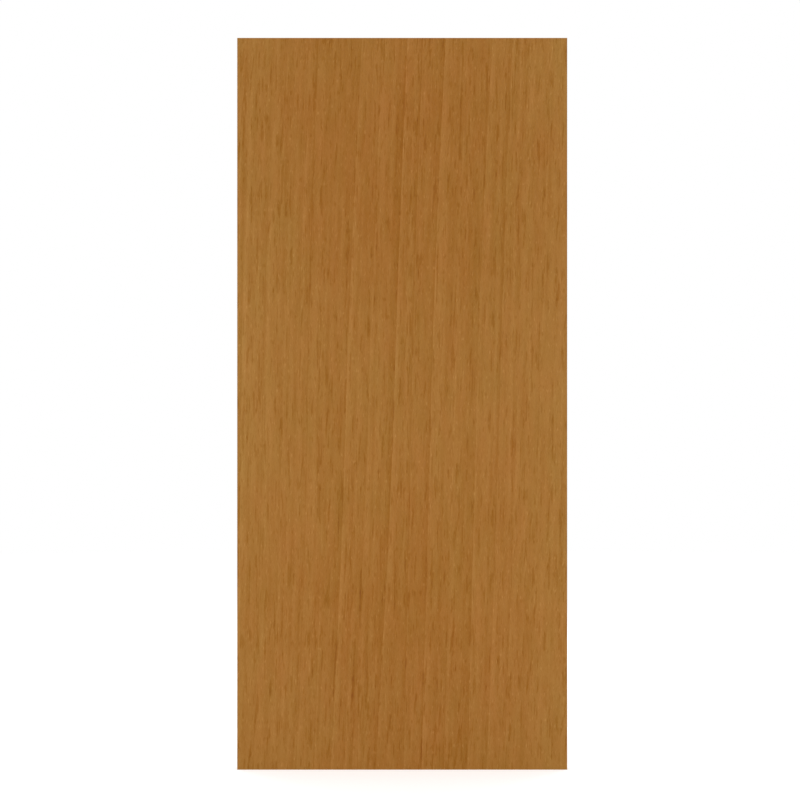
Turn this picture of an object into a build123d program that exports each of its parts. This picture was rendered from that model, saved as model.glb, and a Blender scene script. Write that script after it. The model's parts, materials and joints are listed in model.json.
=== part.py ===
from build123d import *
import os

# Flush door leaf with a solid timber core.
#
# Two stiles and two rails make a frame round a core of upright battens. A strip of the
# face wood closes each long edge. A crossband and then a face veneer cover the whole of
# each side, edge to edge, so the leaf is flat and bare front and back.
#
# Lengths are in millimetres. X runs across the leaf from the hinge edge to the lock edge,
# Y runs through it from the front face to the back face, and Z runs up from the foot. The
# origin is on the hinge edge, halfway through the thickness, at the foot.

# Leaf
leaf_height = 2040.0
leaf_width = 920.0
leaf_thickness = 40.0

# Sheets pressed onto each side
crossband_thickness = 3.0
face_veneer_thickness = 0.6
arris_radius = 0.4

# Frame between the crossbands
edge_strip_width = 8.0
stile_width = 45.0
top_rail_width = 60.0
bottom_rail_width = 100.0

# Core inside the frame
batten_count = 13

# Depth of the frame and core, which fill what the sheets leave of the thickness
frame_thickness = leaf_thickness - 2 * (crossband_thickness + face_veneer_thickness)

# Rectangle of the core, inside the stiles and rails
core_start = edge_strip_width + stile_width
core_width = leaf_width - 2 * core_start
core_foot = bottom_rail_width
core_height = leaf_height - bottom_rail_width - top_rail_width
batten_width = core_width / batten_count


def upright(start, width, foot, length):
    """A member that stands on end: its section in plan, drawn up to its length."""
    section = Rectangle(width, frame_thickness, align=(Align.MIN, Align.CENTER))
    return Pos(start, 0, foot) * extrude(section, length)


def rail(foot, width):
    """A member that lies across the leaf, cut to fit between the two stiles."""
    section = Rectangle(frame_thickness, width, align=(Align.CENTER, Align.MIN))
    return extrude(Plane.YZ.offset(core_start) * Pos(0, foot) * section, core_width)


def crossband():
    """The back sheet that ties frame and core together, seated on their back faces."""
    section = Rectangle(leaf_width, crossband_thickness, align=(Align.MIN, Align.MIN))
    return Pos(0, frame_thickness / 2, 0) * extrude(section, leaf_height)


def face_veneer():
    """The back show face, seated on the crossband, with its two long corners eased."""
    section = Rectangle(leaf_width, face_veneer_thickness, align=(Align.MIN, Align.MIN))
    outer_corners = section.vertices().group_by(Axis.Y)[-1]
    eased = fillet(outer_corners, min(arris_radius, 0.8 * face_veneer_thickness))
    seat = frame_thickness / 2 + crossband_thickness
    return Pos(0, seat, 0) * extrude(eased, leaf_height)


def on_the_front(sheet):
    """The same sheet on the other side of the frame."""
    return mirror(sheet, about=Plane.XZ)


def frame_pieces():
    """Edge strips and stiles, full height, and the rails between the stiles."""
    lock_strip_start = leaf_width - edge_strip_width
    lock_stile_start = lock_strip_start - stile_width
    return {
        "hinge_edge_strip": upright(0, edge_strip_width, 0, leaf_height),
        "hinge_stile": upright(edge_strip_width, stile_width, 0, leaf_height),
        "lock_stile": upright(lock_stile_start, stile_width, 0, leaf_height),
        "lock_edge_strip": upright(lock_strip_start, edge_strip_width, 0, leaf_height),
        "bottom_rail": rail(0, bottom_rail_width),
        "top_rail": rail(leaf_height - top_rail_width, top_rail_width),
    }


def core_pieces():
    """Battens side by side from stile to stile, each as long as the rails leave room for."""
    battens = {}
    for number in range(batten_count):
        start = core_start + number * batten_width
        batten = upright(start, batten_width, core_foot, core_height)
        battens[f"core_batten_{number + 1:02d}"] = batten
    return battens


def sheet_pieces():
    """Crossband and face veneer on each side."""
    return {
        "back_crossband": crossband(),
        "back_face_veneer": face_veneer(),
        "front_crossband": on_the_front(crossband()),
        "front_face_veneer": on_the_front(face_veneer()),
    }


os.makedirs("parts", exist_ok=True)
for name, piece in {**frame_pieces(), **core_pieces(), **sheet_pieces()}.items():
    export_step(piece, f"parts/{name}.step")
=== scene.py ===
# %% [markdown]
# # A flush door leaf, dressed in Blender
#
# A flush door is a flat sandwich. A frame of stiles and rails holds a core of battens, a thin
# crossband ties each side together, and a face veneer gives it its looks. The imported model
# already has each of those pieces at its real size, so no piece is modelled, moved or fitted
# here. What is left is a small studio and one finish for each kind of wood.

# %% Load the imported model
import json
import math

import bmesh
import bpy
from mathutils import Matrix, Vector


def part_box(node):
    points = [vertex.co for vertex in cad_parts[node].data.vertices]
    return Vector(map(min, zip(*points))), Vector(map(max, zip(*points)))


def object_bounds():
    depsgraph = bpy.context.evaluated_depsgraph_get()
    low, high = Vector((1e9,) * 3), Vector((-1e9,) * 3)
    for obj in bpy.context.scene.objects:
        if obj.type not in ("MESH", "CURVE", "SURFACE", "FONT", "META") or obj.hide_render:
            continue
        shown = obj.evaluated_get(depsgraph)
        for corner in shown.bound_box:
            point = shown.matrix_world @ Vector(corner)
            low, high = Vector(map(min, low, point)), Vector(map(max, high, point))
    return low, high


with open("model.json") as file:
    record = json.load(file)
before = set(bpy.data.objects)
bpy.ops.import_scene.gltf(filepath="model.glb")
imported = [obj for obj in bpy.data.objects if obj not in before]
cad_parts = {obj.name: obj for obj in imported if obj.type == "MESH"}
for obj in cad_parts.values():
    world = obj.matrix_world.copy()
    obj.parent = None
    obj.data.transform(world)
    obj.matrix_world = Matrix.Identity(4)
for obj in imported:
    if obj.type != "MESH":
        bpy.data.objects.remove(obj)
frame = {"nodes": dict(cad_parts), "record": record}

CAD_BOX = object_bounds()

# %% [markdown]
# ## Measure the leaf
#
# Every place in this script is worked out from the pieces themselves. The leaf stands on its
# foot with its front face towards the camera, so its box gives the face, the foot and the
# middle that the lamps and the camera need. Numbers typed in by hand would go wrong as soon as
# the leaf had another size.

# %% Measure the leaf
leaf_low, leaf_high = CAD_BOX
LEAF_WIDTH = leaf_high.x - leaf_low.x
LEAF_HEIGHT = leaf_high.z - leaf_low.z
FRONT = leaf_low.y
MIDDLE = (leaf_low + leaf_high) / 2
print(f"leaf {LEAF_WIDTH:.3f} x {LEAF_HEIGHT:.3f} m, front face at y = {FRONT:.3f} m")

# %% [markdown]
# ## Three small helpers
#
# A colour is easiest to read as the hex value seen on a screen, but Blender mixes light, so one
# function turns it to linear. A material is a tree of nodes: one function adds a node with its
# settings and its inputs, each input being a plain value or the socket it is linked from, and
# one clears the tree that a new material comes with. So a material can be read from top to
# bottom like a recipe.

# %% Helpers for colours and nodes
def linear(hex_colour):
    """An sRGB hex colour, such as #A16D33, as linear red, green, blue and alpha."""
    parts = [int(hex_colour[i:i + 2], 16) / 255 for i in (1, 3, 5)]
    return [p / 12.92 if p <= 0.04045 else ((p + 0.055) / 1.055) ** 2.4 for p in parts] + [1.0]


def add(tree, kind, inputs=None, **settings):
    """One shader node with its settings, and its inputs as values or as sockets to link from."""
    made = tree.nodes.new("ShaderNode" + kind)
    for name, value in settings.items():
        setattr(made, name, value)
    for name, value in (inputs or {}).items():
        if isinstance(value, bpy.types.NodeSocket):
            tree.links.new(value, made.inputs[name])
        else:
            made.inputs[name].default_value = value
    return made


def empty_tree(owner):
    """The cleared node tree of a material or a world."""
    owner.use_nodes = True
    owner.node_tree.nodes.clear()
    return owner.node_tree


print(f"the middle grey #808080 sends back {linear('#808080')[0]:.0%} of the light")

# %% [markdown]
# ## The room
#
# The leaf is shown as in a catalogue, on white. More light on a pale room would give white too,
# but it would bleach the leaf. So the light stays at the level at which a colour looks as it is
# written, and only what the camera sees of the room is made white: the world has full strength
# for camera rays and reflections, and less as a light.

# %% World
AMBIENT = 0.62


def seen(tree):
    """1 for a ray from the camera, a reflection or a view through glass, otherwise 0."""
    path = add(tree, "LightPath")
    camera_ray, glossy_ray, glass_ray = [
        path.outputs[f"Is {kind} Ray"] for kind in ("Camera", "Glossy", "Transmission")
    ]
    either = add(tree, "Math", {0: camera_ray, 1: glossy_ray}, operation="ADD")
    return add(tree, "Math", {0: either.outputs[0], 1: glass_ray},
               operation="ADD", use_clamp=True).outputs[0]


world = bpy.data.worlds.new("studio_white")
bpy.context.scene.world = world
tree = empty_tree(world)
light = add(tree, "Background", {"Color": linear("#FFFFFF"), "Strength": AMBIENT})
white = add(tree, "Background", {"Color": linear("#FFFFFF"), "Strength": 1.0})
mixed = add(tree, "MixShader", {0: seen(tree), 1: light.outputs[0], 2: white.outputs[0]})
add(tree, "OutputWorld", {"Surface": mixed.outputs[0]})
print("world:", world.name, "with", len(tree.nodes), "nodes")

# %% [markdown]
# ## The floor
#
# A sheet of paper swept up behind the leaf would be the usual white ground, but it would have a
# back, and the leaf is looked at from all round. A wide flat disc is the same from every side.

# %% Floor
FLOOR_RADIUS = 9.0
FLOOR_SIDES = 96

floor_mesh = bpy.data.meshes.new("studio_floor")
shape = bmesh.new()
bmesh.ops.create_circle(shape, cap_ends=True, segments=FLOOR_SIDES, radius=FLOOR_RADIUS)
bmesh.ops.translate(shape, verts=shape.verts, vec=(MIDDLE.x, MIDDLE.y, leaf_low.z))
shape.to_mesh(floor_mesh)
shape.free()
floor = bpy.data.objects.new("studio_floor", floor_mesh)
bpy.context.scene.collection.objects.link(floor)
print(f"floor {2 * FLOOR_RADIUS:.0f} m across at z = {leaf_low.z:.3f} m")

# %% [markdown]
# The floor's paint is pale and matt, with a little light of its own towards the camera, so that
# it reads as white where nothing shades it and still darkens softly round the foot of the leaf.
# Seen from below it is clear, so the foot can be looked at too.

# %% Floor paint
FLOOR_PAINT = "#EEEEEE"
FLOOR_GLOW = 0.48

floor_paint = bpy.data.materials.new("matt_white_floor_paint")
tree = empty_tree(floor_paint)
sheet = add(tree, "BsdfDiffuse", {"Color": linear(FLOOR_PAINT)})
strength = add(tree, "Math", {0: seen(tree), 1: FLOOR_GLOW}, operation="MULTIPLY")
glow = add(tree, "Emission", {"Strength": strength.outputs[0]})
lit = add(tree, "AddShader", {0: sheet.outputs[0], 1: glow.outputs[0]})
clear = add(tree, "BsdfTransparent")
from_below = add(tree, "NewGeometry").outputs["Backfacing"]
both = add(tree, "MixShader", {0: from_below, 1: lit.outputs[0], 2: clear.outputs[0]})
add(tree, "OutputMaterial", {"Surface": both.outputs[0]})
floor_mesh.materials.append(floor_paint)
print("floor paint:", floor_paint.name, "with", len(tree.nodes), "nodes")

# %% [markdown]
# ## The lamps
#
# A flat face shows every unevenness of its light, so each side gets a pair of large soft boxes,
# left and right, as tall as the leaf and well back from it. One large box in front would show
# as a sheen in the lacquer. The floor is darkest where it meets the leaf, so the foot of the
# face would fade: a low strip lamp in front of it makes up for that. The leaf is seen from all
# sides, so the same lamps stand behind it. An area lamp shines along its own -Z, and is aimed by
# turning that axis towards its target.

# %% Lamps
# Sizes, distances and heights are in metres, powers in watts.
BOX_SIZE = (1.6, 2.4)
BOX_DISTANCE = 4.6
BOX_HEIGHT = 1.4
BOX_TURN = math.radians(38)
BOX_POWER = 45.0
STRIP_SIZE = (2.2, 0.2)
STRIP_DISTANCE = 0.8
STRIP_HEIGHT = 0.12
STRIP_POWER = 0.75


def area_lamp(name, size, power, turn, distance, height):
    """A rectangular lamp at this angle round the leaf, aimed level at its middle line."""
    data = bpy.data.lights.new(name, "AREA")
    data.shape = "RECTANGLE"
    data.size, data.size_y = size
    data.energy = power
    lamp = bpy.data.objects.new(name, data)
    target = Vector((MIDDLE.x, MIDDLE.y, leaf_low.z + height))
    lamp.location = target + Vector((distance * math.sin(turn), -distance * math.cos(turn), 0.0))
    lamp.rotation_euler = (target - lamp.location).to_track_quat("-Z", "Y").to_euler()
    lamp.visible_camera = False
    bpy.context.scene.collection.objects.link(lamp)


for side, facing in (("front", 0.0), ("back", math.pi)):
    for hand, turn in (("left", -BOX_TURN), ("right", BOX_TURN)):
        area_lamp(f"{side}_{hand}_soft_box", BOX_SIZE, BOX_POWER, facing + turn, BOX_DISTANCE,
                  BOX_HEIGHT)
    area_lamp(f"{side}_strip", STRIP_SIZE, STRIP_POWER, facing, STRIP_DISTANCE, STRIP_HEIGHT)

# %% [markdown]
# ## The frame of the picture
#
# The photograph looks straight at the face: all four edges are upright or level and no thickness
# shows. So the leaf's outline, in pixels of the photograph's 800 pixel frame, says how much the
# frame takes in at the face, and how far its centre is off the middle of the leaf.

# %% Frame of the picture
MM = 0.001
PHOTO_SIDE = 800.0
PHOTO_LEFT, PHOTO_RIGHT = 237.1, 567.3
PHOTO_TOP, PHOTO_FOOT = 38.1, 769.5

pixel_across = LEAF_WIDTH / (PHOTO_RIGHT - PHOTO_LEFT)
pixel_up = LEAF_HEIGHT / (PHOTO_FOOT - PHOTO_TOP)
pixel = (pixel_across + pixel_up) / 2
frame_side = PHOTO_SIDE * pixel
off_right = (PHOTO_LEFT + PHOTO_RIGHT - PHOTO_SIDE) / 2 * pixel
off_down = (PHOTO_TOP + PHOTO_FOOT - PHOTO_SIDE) / 2 * pixel
print(f"frame {frame_side:.3f} m wide at the face, {pixel / MM:.2f} mm a pixel")

# %% [markdown]
# ## The camera
#
# A camera without perspective would keep the edges upright, but it would show the leaf from
# other sides as a drawing. A long lens, level and at the height of the picture's centre, is what
# a photographer would use, and it suits the other views too. How far back it stands follows from
# the lens, the sensor and the width that the frame takes in.

# %% Camera
SENSOR = 36.0
LENS = 100.0

camera_data = bpy.data.cameras.new("catalogue_camera")
camera_data.sensor_width = SENSOR
camera_data.lens = LENS
camera = bpy.data.objects.new("catalogue_camera", camera_data)
camera.location = (
    MIDDLE.x - off_right,
    FRONT - frame_side * LENS / SENSOR,
    MIDDLE.z + off_down,
)
camera.rotation_euler = (math.pi / 2, 0, 0)
bpy.context.scene.collection.objects.link(camera)
bpy.context.scene.camera = camera
bpy.context.scene.view_settings.view_transform = "Standard"
print(f"camera {FRONT - camera.location.y:.2f} m in front of the face")

# %% [markdown]
# ## Wood grain from stretched noise
#
# Wood is a bundle of fibres, so whatever it shows is many times longer than it is wide. A
# picture of wood would do for one face, but it has edges and repeats. A noise texture is an even
# field of soft blobs, with no edge at all. Squeezed across the grain and drawn out along it, the
# blobs become fibres, pores or lines of growth, by their size alone. The noise is solid, so an
# end cut across the fibres shows them as dots, as end grain does.
#
# A tree doesn't grow quite straight either, so all the patterns of one wood share a place that
# sways sideways a little on its way up.

# %% Fibres that sway
def fibres(tree, place, cell_mm, seed, detail=0.0):
    """Noise with blobs of this size in millimetres along X, Y and Z, as a value about 0.5."""
    sized = add(tree, "Mapping", {"Vector": place, "Location": (seed, seed, seed),
                                  "Scale": [1 / (size * MM) for size in cell_mm]})
    noise = add(tree, "TexNoise", {"Vector": sized.outputs[0], "Scale": 1.0, "Detail": detail})
    return noise.outputs[0]


def pushed_across(tree, place, push):
    """The place, pushed along X by this much."""
    shift = add(tree, "CombineXYZ", {"X": push})
    return add(tree, "VectorMath", {0: place, 1: shift.outputs[0]}, operation="ADD").outputs[0]


def swaying(tree, place, sway_mm, wave_mm, seed):
    """The place, pushed sideways by up to this much, in waves of this size."""
    wave = fibres(tree, place, wave_mm, seed)
    push = add(tree, "MapRange", {"Value": wave, "To Min": -sway_mm * MM, "To Max": sway_mm * MM})
    return pushed_across(tree, place, push.outputs[0])


print(f"a pattern finer than {pixel / MM:.1f} mm is too fine for the photograph's pixels")

# %% [markdown]
# ## Layers and marks
#
# Each pattern is a value with a usual level, and a wood's tone is the sum of what each of them
# is above or below its own. That way a layer can be made stronger or weaker without the wood
# getting darker or paler all over.
#
# Plain noise has no gaps, but pores and flecks are marks with clean wood between them. They are
# the peaks of the noise: everything under a level is cut off. Where another layer raises the
# noise, more peaks stand out, so the marks crowd together there.

# %% Layers and marks
PLAIN = 0.5            # the usual level of a noise


def total(tree, layers, middle):
    """Layers of value, weight and usual level: each less its usual level and times its weight,
    all added to the middle."""
    level = middle - sum(weight * usual for value, weight, usual in layers)
    for value, weight, usual in layers:
        level = add(tree, "Math", {0: value, 1: weight, 2: level},
                    operation="MULTIPLY_ADD").outputs[0]
    return level


def marks(tree, place, cell_mm, seed, start, end, gathered=None):
    """Separate marks, 1 where noise of this size is over the end level and 0 where it is under
    the start. They crowd together where the gathered layer is high."""
    noise = fibres(tree, place, cell_mm, seed)
    if gathered:
        noise = total(tree, [(noise, 1.0, PLAIN), gathered], PLAIN)
    return add(tree, "MapRange", {"Value": noise, "From Min": start, "From Max": end},
               interpolation_type="SMOOTHSTEP").outputs[0]


print("a noise swings about", PLAIN, "so marks start a little above that")

# %% [markdown]
# ## From tone to surface
#
# One value, the tone, runs from a dark to a light version of the same wood, so whatever the
# layers of grain do, the colour stays that of the wood. The pores do three things: they darken
# the tone, they lie a little below the surface, and they are rougher than the wood between them.
# Lacquered or sealed wood refracts light as clear plastic does, with an IOR of about 1.5. How
# matt it is comes from the roughness, and from how much of its reflection is kept: the
# photograph shows hardly any, so that is under Blender's usual half.

# %% Colour and surface of a wood
LACQUER_IOR = 1.5
PORE_ROUGHNESS = 0.15      # how much rougher a pore is than the wood round it

# A Mix node's sockets when it mixes colours: the factor, the two colours and the result.
FACTOR, FIRST, SECOND, MIXED = 0, 6, 7, 2


def grain_colour(tree, layers, dark, light, middle=0.5):
    """The colour that these layers of grain give, from the dark to the light one."""
    tone = total(tree, layers, middle)
    return add(tree, "Mix", {FACTOR: tone, FIRST: linear(dark), SECOND: linear(light)},
               data_type="RGBA", clamp_factor=False).outputs[MIXED]


def wood_surface(tree, colour, pores, depth_mm, roughness, gloss):
    """The end of each wood material, with pores this deep where their value is 1."""
    height = add(tree, "Math", {0: pores, 1: -1.0}, operation="MULTIPLY")
    relief = add(tree, "Bump", {"Height": height.outputs[0], "Strength": 1.0,
                                "Distance": depth_mm * MM})
    rough = add(tree, "Math", {0: pores, 1: PORE_ROUGHNESS, 2: roughness},
                operation="MULTIPLY_ADD")
    shader = add(tree, "BsdfPrincipled", {
        "Base Color": colour, "Roughness": rough.outputs[0], "IOR": LACQUER_IOR,
        "Specular IOR Level": gloss, "Normal": relief.outputs[0],
    })
    add(tree, "OutputMaterial", {"Surface": shader.outputs[0]})


mirrored = ((LACQUER_IOR - 1) / (LACQUER_IOR + 1)) ** 2
print(f"clear lacquer, looked at face on, mirrors {mirrored:.0%} of the light")

# %% [markdown]
# ## How the veneer's grain leans
#
# In the photograph the long lines of the veneer lean a little to the right going up, most near
# the two ends. They could be drawn one by one at that slant, but then they would stand apart
# from the rest of the grain. Here the place that all the patterns share is bent instead, so that
# everything on the sheet leans together. Pushing the place to the left moves what is drawn on it
# to the right.

# %% Lean of the grain
LEAN = 20.0 * MM           # how far a line leans to the right from halfway up to the top
END_BEND = 11.0 * MM       # and how much further it bends by then


def leaning(tree, place):
    """The place, pushed left going up, so that what is drawn on it leans right."""
    height = add(tree, "SeparateXYZ", {"Vector": place}).outputs["Z"]
    end = add(tree, "MapRange", {"Value": height, "From Min": leaf_low.z, "From Max": leaf_high.z,
                                 "To Min": -1.0, "To Max": 1.0})
    off = add(tree, "Math", {0: end.outputs[0]}, operation="ABSOLUTE")
    slope = add(tree, "Math", {0: off.outputs[0], 1: -END_BEND, 2: -LEAN},
                operation="MULTIPLY_ADD")
    push = add(tree, "Math", {0: end.outputs[0], 1: slope.outputs[0]}, operation="MULTIPLY")
    return pushed_across(tree, place, push.outputs[0])


print(f"a line leans {2 * (LEAN + END_BEND) / MM:.0f} mm from foot to top")

# %% [markdown]
# ## The years of the veneer
#
# Veneer is sliced from a log, so the edges of the tree's years run up the sheet as long lines,
# each darker on one side: wood that grows late in a year is dense, and the next year starts
# pale. A saw-tooth wave across the sheet has just that step at each line. The tooth is cubed,
# which keeps its two ends and flattens its middle, so that the tone changes mostly at the line.
# The years aren't equally wide, so noise moves the lines about. In the photograph they show best
# up the middle of the leaf, the heart of the sheet, and fade towards its long edges.

# %% Lines of growth
YEAR_MM = 60.0
UNEVEN_YEARS = 1.6         # how far noise moves a line, in years
FAINT = 0.3                # what is left of a line where it is faintest
PATCHY_LEVELS = (0.3, 0.6)     # a line gets clear between these levels of the noise
HEART_REACH = (0.3, 0.8)       # and faint between these distances from the heart


def off_heart(tree, place):
    """How far a place is from the sheet's middle line: 0 there, 1 at both long edges."""
    across = add(tree, "SeparateXYZ", {"Vector": place}).outputs["X"]
    off = add(tree, "MapRange", {"Value": across, "From Min": leaf_low.x, "From Max": leaf_high.x,
                                 "To Min": -1.0, "To Max": 1.0})
    return add(tree, "Math", {0: off.outputs[0]}, operation="ABSOLUTE").outputs[0]


def growth_lines(tree, place, year_mm, seed):
    """A tooth for each year across the grain, from 1 just past its first line to -1 just before
    the next. The years are uneven, and show most up the heart of the sheet."""
    across = add(tree, "SeparateXYZ", {"Vector": place}).outputs["X"]
    uneven = fibres(tree, place, (90.0, 40.0, 5000.0), seed)
    years = add(tree, "Math", {0: across, 1: 1 / (year_mm * MM)}, operation="MULTIPLY")
    years = add(tree, "Math", {0: uneven, 1: UNEVEN_YEARS, 2: years.outputs[0]},
                operation="MULTIPLY_ADD")
    part = add(tree, "Math", {0: years.outputs[0]}, operation="FRACT")
    tooth = add(tree, "MapRange", {"Value": part.outputs[0], "To Min": 1.0, "To Max": -1.0})
    cube = add(tree, "Math", {0: tooth.outputs[0], 1: 3.0}, operation="POWER")
    patchy = fibres(tree, place, (90.0, 40.0, 3600.0), seed + 2.0)
    clear = add(tree, "MapRange", {"Value": patchy, "From Min": PATCHY_LEVELS[0],
                                   "From Max": PATCHY_LEVELS[1], "To Min": FAINT})
    heart = add(tree, "MapRange", {"Value": off_heart(tree, place), "From Min": HEART_REACH[0],
                                   "From Max": HEART_REACH[1], "To Min": 1.0, "To Max": FAINT})
    shown = add(tree, "Math", {0: clear.outputs[0], 1: heart.outputs[0]}, operation="MULTIPLY")
    return add(tree, "Math", {0: cube.outputs[0], 1: shown.outputs[0]},
               operation="MULTIPLY").outputs[0]


print(f"about {LEAF_WIDTH / (YEAR_MM * MM):.0f} lines of growth across the sheet")

# %% [markdown]
# ## The broad tone of the veneer
#
# A whole sheet isn't evenly brown either. In the photograph it is darker up the heart, and in two
# broad bands along its length. A slow noise would give such a change, but not in those places, so
# this is drawn from the place itself: the square of the way out from the heart, and a wave along
# the leaf.

# %% Slow drift of the tone
BAND_LENGTH = 1.3          # metres from one dark band across the sheet to the next
BAND_SHADE = 0.09          # how much the bands change the tone
HEART_SHADE = 0.265        # how much darker the heart is than the long edges
MEAN_SQUARE = 0.33         # the usual level of a square of 0 to 1


def slow_drift(tree, place):
    """A broad tone: darker up the heart of the sheet, and in bands along its length."""
    sides = add(tree, "Math", {0: off_heart(tree, place), 1: 2.0}, operation="POWER")
    height = add(tree, "SeparateXYZ", {"Vector": place}).outputs["Z"]
    turn = 2 * math.pi / BAND_LENGTH
    angle = add(tree, "Math", {0: height, 1: turn, 2: -turn * MIDDLE.z}, operation="MULTIPLY_ADD")
    bands = add(tree, "Math", {0: angle.outputs[0]}, operation="COSINE")
    return total(tree, [(sides.outputs[0], HEART_SHADE, MEAN_SQUARE),
                        (bands.outputs[0], BAND_SHADE, 0.0)], 0.0)


print(f"{LEAF_HEIGHT / BAND_LENGTH:.1f} bands along the leaf")

# %% [markdown]
# ## Face veneer: the grain
#
# The faces are 0.6 mm of straight-grained, golden brown hardwood, as teak is, sliced from the
# log, sanded and lacquered satin. At the photograph's 2.8 mm a pixel that gives the eye a quiet
# field of short darker dashes on long faint lines, with a few pale flecks of the wood's rays.
#
# Each of those is a pattern of its own, because each has its own length. Teak's pores are a
# quarter of a millimetre wide, too fine for that distance, so dashes a pixel or two wide stand
# for bundles of them. The single pores are drawn too, twice as wide as real ones, for a closer
# look. The dashes gather along the fine lines and the pores in the dashes, as they do in wood.

# %% Face veneer: the grain
veneer = bpy.data.materials.new("sliced_teak_veneer_satin_lacquer")
tree = empty_tree(veneer)
flat = add(tree, "TexCoord").outputs["Object"]
place = leaning(tree, flat)
place = swaying(tree, place, sway_mm=6.0, wave_mm=(160.0, 60.0, 1300.0), seed=1.3)
place = swaying(tree, place, sway_mm=0.8, wave_mm=(14.0, 14.0, 110.0), seed=2.6)

threads = fibres(tree, place, (5.6, 5.6, 1800.0), 7.7)
growth = fibres(tree, place, (11.0, 11.0, 2200.0), 19.9)
streaks = fibres(tree, place, (11.0, 11.0, 85.0), 12.4)
grit = fibres(tree, place, (5.0, 5.0, 16.0), 9.3)
clouds = fibres(tree, place, (150.0, 40.0, 480.0), 23.5)
dashes = marks(tree, place, (5.6, 5.6, 60.0), 3.1, 0.65, 0.75, gathered=(threads, 0.4, PLAIN))
flecks = marks(tree, place, (5.2, 5.2, 24.0), 5.9, 0.65, 0.74, gathered=(threads, 0.25, PLAIN))
rays = marks(tree, place, (3.4, 3.4, 18.0), 15.8, 0.66, 0.8)
pores = marks(tree, place, (0.5, 0.5, 8.0), 41.3, 0.58, 0.66, gathered=(dashes, 0.14, 0.0))
lines = growth_lines(tree, place, YEAR_MM, 21.6)
drift = slow_drift(tree, flat)
print("veneer grain:", len(tree.nodes), "nodes")

# %% [markdown]
# ## Face veneer: the colour
#
# The tone is the sum of all those patterns. In the photograph the wood also turns a little
# redder here and greener there, more slowly than the tone changes, and greener towards the long
# edges. A second sum gives that turn, as a pale cast that the wood's colour is multiplied by. Two
# more wood colours would do it too, but with a cast the two can be matched one at a time.

# %% Face veneer: the colour
VENEER_DARK = "#955E0F"
VENEER_LIGHT = "#AA7533"
RED_CAST = "#FFF9FC"
GREEN_CAST = "#F9FFFC"
finishes = {}

wood = grain_colour(tree, [
    (dashes, -0.34, 0.1),
    (pores, -0.36, 0.25),
    (flecks, -0.34, 0.08),
    (rays, 0.55, 0.04),
    (grit, 0.24, PLAIN),
    (threads, 0.36, PLAIN),
    (streaks, 0.55, PLAIN),
    (growth, 0.5, PLAIN),
    (lines, 0.38, 0.0),
    (clouds, 0.22, PLAIN),
    (drift, 1.0, 0.0),
], VENEER_DARK, VENEER_LIGHT)
near = fibres(tree, place, (30.0, 30.0, 110.0), 31.7)
far = fibres(tree, place, (140.0, 40.0, 420.0), 37.2)
cast = grain_colour(tree, [(near, 1.1, PLAIN), (far, 0.85, PLAIN), (drift, 1.6, 0.0)],
                    RED_CAST, GREEN_CAST)
colour = add(tree, "Mix", {FACTOR: 1.0, FIRST: wood, SECOND: cast}, data_type="RGBA",
             blend_type="MULTIPLY")
wood_surface(tree, colour.outputs[MIXED], pores, depth_mm=0.06, roughness=0.4, gloss=0.2)
finishes["face_veneer"] = veneer
print("face veneer:", veneer.name, "with", len(tree.nodes), "nodes")

# %% [markdown]
# ## Rows of pieces, each with its own grain
#
# The plies of a laminated board and the battens of a core come from different trees, so each has
# its own grain and tone. Each could have a material of its own, but they lie in a row of equal
# steps, so one material can tell them apart. The step a place falls in gives its piece a number,
# and white noise turns the number into a tone and into a shift that takes the piece to wood of
# its own. A face between two pieces would flicker from one to the other, so the place is first
# taken half a millimetre in under the surface.

# %% Rows of pieces
UNDER_SURFACE = 0.5 * MM


def own_piece(tree, axis, start, step, spread_mm):
    """In a row of equal steps along an axis, in metres: the place in wood of each piece's own, a
    tone of its own from 0 to 1, and how far through the step the place is."""
    where = add(tree, "TexCoord")
    inside = add(tree, "VectorMath", {0: where.outputs["Normal"], 1: [-UNDER_SURFACE] * 3,
                                      2: where.outputs["Object"]}, operation="MULTIPLY_ADD")
    along = add(tree, "SeparateXYZ", {"Vector": inside.outputs[0]}).outputs[axis]
    steps = add(tree, "Math", {0: along, 1: 1 / step, 2: -start / step}, operation="MULTIPLY_ADD")
    through = add(tree, "Math", {0: steps.outputs[0]}, operation="FRACT")
    number = add(tree, "Math", {0: steps.outputs[0]}, operation="FLOOR")
    own = add(tree, "TexWhiteNoise", {"W": number.outputs[0]}, noise_dimensions="1D")
    one_step = [-step if name == axis else 0.0 for name in "XYZ"]
    back = add(tree, "VectorMath", {0: one_step, "Scale": number.outputs[0]}, operation="SCALE")
    local = add(tree, "VectorMath", {0: inside.outputs[0], 1: back.outputs[0]}, operation="ADD")
    place = add(tree, "VectorMath", {0: own.outputs["Color"], 1: [size * MM for size in spread_mm],
                                     2: local.outputs[0]}, operation="MULTIPLY_ADD")
    return place.outputs[0], own.outputs["Value"], through.outputs[0]


print(f"pieces in a row are told apart {UNDER_SURFACE / MM} mm under the surface")

# %% [markdown]
# ## Year rings in solid wood
#
# Solid wood shows its years too, much closer together than a sheet sliced along them. They are
# rings round the tree's pith, so how far a place is from the pith says how far through its year
# it is. A board far from the pith shows straight lines and one near it arches, from the same few
# nodes.

# %% Year rings
RING_WAVE_MM = (30.0, 30.0, 400.0)     # the size of the waves in a ring


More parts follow.
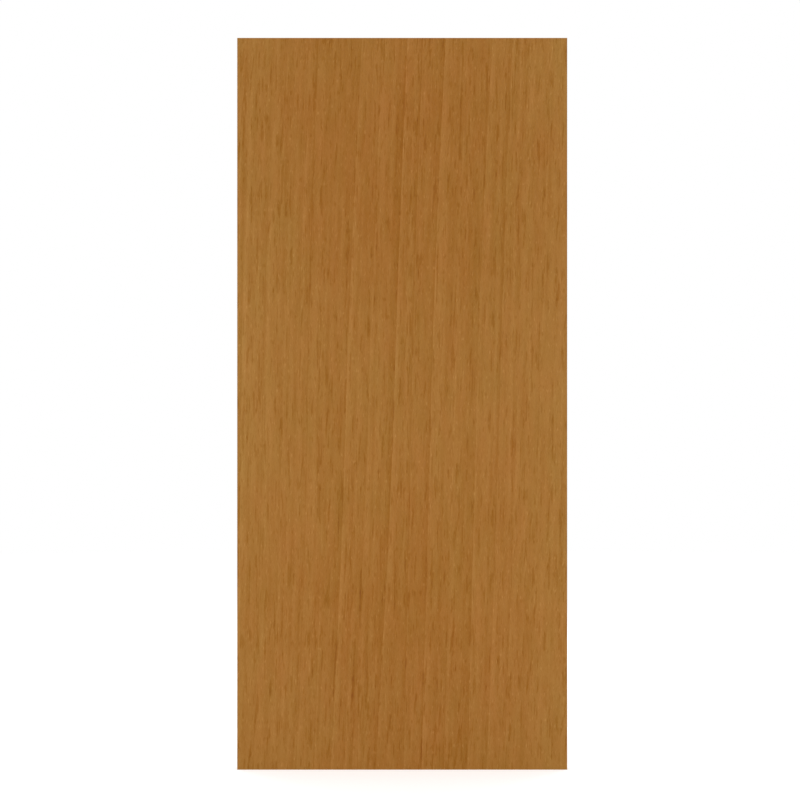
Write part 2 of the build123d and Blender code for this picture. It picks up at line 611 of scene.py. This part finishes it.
def year_rings(tree, place, pith_mm, year_mm, seed):
    """How far through its year's growth a place is, 0 to 1, in rings round an upright pith."""
    from_pith = add(tree, "VectorMath", {0: place, 1: [-at * MM for at in pith_mm] + [0.0]},
                    operation="ADD")
    level = add(tree, "VectorMath", {0: from_pith.outputs[0], 1: (1.0, 1.0, 0.0)},
                operation="MULTIPLY")
    radius = add(tree, "VectorMath", {0: level.outputs[0]}, operation="LENGTH").outputs["Value"]
    uneven = fibres(tree, place, RING_WAVE_MM, seed)
    years = add(tree, "Math", {0: radius, 1: 1 / (year_mm * MM), 2: uneven},
                operation="MULTIPLY_ADD")
    return add(tree, "Math", {0: years.outputs[0]}, operation="FRACT").outputs[0]


print(f"a ring wavers in waves {RING_WAVE_MM[2]:.0f} mm long")

# %% [markdown]
# ## Edge strips
#
# The two long edges are closed by solid strips of the face's wood, planed and lacquered with the
# faces. The veneer's own material could run on over them, but it has no rings. Such wood is
# ring-porous: each year starts with a band of wide pores, which shows as a darker line. Each
# strip has its own place in the tree, with the pith a few centimetres away, so the lines run up
# the edge and wander a little. The pores are drawn 0.6 mm wide, about twice their real width.

# %% Edge strips
STRIP_DARK = "#86540F"
STRIP_LIGHT = "#AF7E37"

hinge_strip_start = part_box("hinge_edge_strip")[0].x
strips_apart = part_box("lock_edge_strip")[0].x - hinge_strip_start

lipping = bpy.data.materials.new("solid_teak_lipping_planed_satin_lacquer")
tree = empty_tree(lipping)
place, own, _ = own_piece(tree, "X", hinge_strip_start, strips_apart, spread_mm=(10, 10, 900))
place = swaying(tree, place, sway_mm=5.0, wave_mm=(200.0, 200.0, 500.0), seed=2.7)
year = year_rings(tree, place, pith_mm=(-70.0, 40.0), year_mm=3.2, seed=8.8)
early = add(tree, "MapRange", {"Value": year, "From Min": 0.05, "From Max": 0.5,
                               "To Min": 1.0, "To Max": 0.0}, interpolation_type="SMOOTHSTEP")
early = early.outputs[0]
pores = marks(tree, place, (0.6, 0.6, 12.0), 13.1, 0.56, 0.7, gathered=(early, 0.12, 0.0))
streaks = fibres(tree, place, (3.0, 3.0, 110.0), 17.9)
figure = fibres(tree, place, (18.0, 18.0, 260.0), 21.2)
colour = grain_colour(tree, [
    (early, -0.3, 0.3),
    (pores, -0.45, 0.25),
    (streaks, 0.8, PLAIN),
    (figure, 0.7, PLAIN),
    (own, 0.2, PLAIN),
], STRIP_DARK, STRIP_LIGHT)
wood_surface(tree, colour, pores, depth_mm=0.1, roughness=0.45, gloss=0.12)
finishes["edge_strip"] = lipping
print(f"edge strips {strips_apart:.3f} m apart:", lipping.name, "with", len(tree.nodes), "nodes")

# %% [markdown]
# ## Crossbands
#
# Three millimetres of high-density fibreboard tie the frame and core together under each veneer,
# and show as a dark line on all four edges. It is wood ground to fibres and pressed hot, so it
# has no grain: a brown felt with a few paler and darker flakes, denser and darker near its two
# skins, and matt where it is sawn. Noise with some finer detail in it gives the felt in one
# step. The fibres are a twentieth of a millimetre thick, so they are drawn as clumps of 0.4 to
# 0.9 mm.

# %% Crossbands
BOARD_DARK = "#573C26"
BOARD_LIGHT = "#866447"

band_low, band_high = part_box("back_crossband")

fibreboard = bpy.data.materials.new("high_density_fibreboard_sawn_edge")
tree = empty_tree(fibreboard)
place = add(tree, "TexCoord").outputs["Object"]
felt = fibres(tree, place, (0.9, 0.35, 0.9), 2.2, detail=3.0)
flakes = fibres(tree, place, (2.5, 0.5, 2.5), 5.4)
pits = marks(tree, place, (1.2, 0.4, 1.2), 8.6, 0.62, 0.75)
clouds = fibres(tree, place, (60.0, 60.0, 60.0), 11.9)
depth = add(tree, "SeparateXYZ", {"Vector": place}).outputs["Y"]
depth = add(tree, "Math", {0: depth}, operation="ABSOLUTE")
across = add(tree, "MapRange", {"Value": depth.outputs[0], "From Min": band_low.y,
                                "From Max": band_high.y, "To Min": -1.0, "To Max": 1.0})
skins = add(tree, "Math", {0: across.outputs[0], 1: 4.0}, operation="POWER")
colour = grain_colour(tree, [
    (felt, 1.2, PLAIN),
    (flakes, 0.8, PLAIN),
    (pits, -0.4, 0.1),
    (clouds, 0.6, PLAIN),
    (skins.outputs[0], -0.35, 0.2),
], BOARD_DARK, BOARD_LIGHT)
wood_surface(tree, colour, pits, depth_mm=0.12, roughness=0.7, gloss=0.3)
finishes["crossband"] = fibreboard
print("crossbands:", fibreboard.name, "with", len(tree.nodes), "nodes")

# %% [markdown]
# ## Plies and glue
#
# The frame is laminated veneer lumber: plies a little over three millimetres thick, peeled from
# the log and glued with all their fibres one way, then sawn and sealed. The plies could be
# modelled, but they are flush with each other, so a row of steps in the material looks the same.
# Two plies meet in a thin dark line of glue, which is drawn where one step ends and the next
# begins.

# %% Plies and glue
GLUE = "#5B3B22"
PLIES = 10
GLUE_LINE = 0.15 * MM

frame_low, frame_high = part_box("hinge_stile")
ply = (frame_high.y - frame_low.y) / PLIES


def glued(tree, wood, through):
    """The wood's colour, and the glue's at both ends of the way through a ply."""
    off_middle = add(tree, "Math", {0: through, 1: 0.5}, operation="SUBTRACT")
    off_middle = add(tree, "Math", {0: off_middle.outputs[0]}, operation="ABSOLUTE")
    half_glue = GLUE_LINE / ply / 2
    glue = add(tree, "MapRange", {
        "Value": off_middle.outputs[0], "From Min": 0.5 - 2 * half_glue,
        "From Max": 0.5 - half_glue,
    }, interpolation_type="SMOOTHSTEP")
    return add(tree, "Mix", {FACTOR: glue.outputs[0], FIRST: wood, SECOND: linear(GLUE)},
               data_type="RGBA").outputs[MIXED]


print(f"{PLIES} plies of {ply / MM:.2f} mm with {GLUE_LINE / MM:.2f} mm of glue between two")

# %% [markdown]
# ## Stiles and rails
#
# On the ends and edges that show at the top and the foot, the frame is striped, as each ply has
# its own tone, and the fibres show as fine dots on an end and as streaks along an edge. They run
# along the piece, up a stile and across a rail. Patterns drawn out one way suit only one of the
# two, so the same recipe is made twice, once for each way.

# %% Stiles and rails
PLY_DARK = "#AC7E46"
PLY_LIGHT = "#D8B580"


def laminated(name, grain):
    """Laminated veneer lumber with its fibres along this axis, X or Z."""
    def stretched(across, length):
        return [length if axis == grain else across for axis in "XYZ"]

    made = bpy.data.materials.new(name)
    tree = empty_tree(made)
    place, own, through = own_piece(tree, "Y", frame_low.y, ply, spread_mm=(700, 300, 900))
    fine = fibres(tree, place, stretched(0.7, 22.0), 3.3)
    pores = marks(tree, place, stretched(0.4, 6.0), 6.6, 0.6, 0.72)
    streaks = fibres(tree, place, stretched(5.0, 160.0), 9.2)
    figure = fibres(tree, place, stretched(30.0, 420.0), 12.8)
    wood = grain_colour(tree, [
        (own, 0.7, PLAIN),
        (fine, 0.6, PLAIN),
        (pores, -0.3, 0.12),
        (streaks, 0.8, PLAIN),
        (figure, 0.6, PLAIN),
    ], PLY_DARK, PLY_LIGHT)
    wood_surface(tree, glued(tree, wood, through), pores, depth_mm=0.12, roughness=0.62,
                 gloss=0.22)
    print("frame:", name, "with", len(tree.nodes), "nodes")
    return made


frame_finishes = {
    "X": laminated("laminated_veneer_lumber_rails", "X"),
    "Z": laminated("laminated_veneer_lumber_stiles", "Z"),
}

# %% [markdown]
# ## Core battens
#
# The core is pine, sawn and planed into battens and glued edge to edge. It is hidden in a
# finished leaf, and shows when the sandwich is taken apart. Pine is plain pale wood with a hard,
# dark line at the end of each year, and battens are cut anywhere in the log: one shows the lines
# close and straight, the next wide and arched. Since each batten gets a place of its own near
# the same pith, that variety comes by itself. Pine's fibres are far too fine to show, so they are
# drawn 0.6 mm wide.

# %% Core battens
PINE_DARK = "#A8763C"
PINE_LIGHT = "#DFC091"

batten_low, batten_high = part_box("core_batten_01")

pine = bpy.data.materials.new("planed_pine_core_battens")
tree = empty_tree(pine)
batten = batten_high.x - batten_low.x
place, own, _ = own_piece(tree, "X", batten_low.x, batten, spread_mm=(60, 120, 900))
place = swaying(tree, place, sway_mm=7.0, wave_mm=(160.0, 160.0, 700.0), seed=9.9)
year = year_rings(tree, place, pith_mm=(-15.0, -35.0), year_mm=2.6, seed=4.1)
late = add(tree, "MapRange", {"Value": year, "From Min": 0.4, "From Max": 0.95},
           interpolation_type="SMOOTHSTEP").outputs[0]
fine = fibres(tree, place, (0.6, 0.6, 18.0), 7.2)
resin = marks(tree, place, (0.5, 0.5, 9.0), 16.3, 0.66, 0.76)
figure = fibres(tree, place, (25.0, 25.0, 380.0), 19.5)
colour = grain_colour(tree, [
    (late, -0.6, 0.3),
    (own, 0.45, PLAIN),
    (fine, 0.3, PLAIN),
    (resin, -0.3, 0.05),
    (figure, 0.5, PLAIN),
], PINE_DARK, PINE_LIGHT, middle=0.62)
wood_surface(tree, colour, resin, depth_mm=0.08, roughness=0.58, gloss=0.3)
finishes["core_lumber"] = pine
print("core battens:", pine.name, "with", len(tree.nodes), "nodes")

# %% [markdown]
# ## Dress the pieces
#
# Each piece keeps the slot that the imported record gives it, and the slot names its finish. Only
# the frame's pieces have two to choose from, and take the one whose fibres run along the piece.
# The pieces' meshes and places stay as they are.

# %% Dress the pieces
slot_of = {part["node"]: part["material_slot"] for part in frame["record"]["subparts"]}
for node_name, piece in frame["nodes"].items():
    piece_low, piece_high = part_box(node_name)
    longest = "X" if piece_high.x - piece_low.x > piece_high.z - piece_low.z else "Z"
    finish = finishes.get(slot_of[node_name]) or frame_finishes[longest]
    piece.data.materials.clear()
    piece.data.materials.append(finish)
    print(node_name, "->", finish.name)
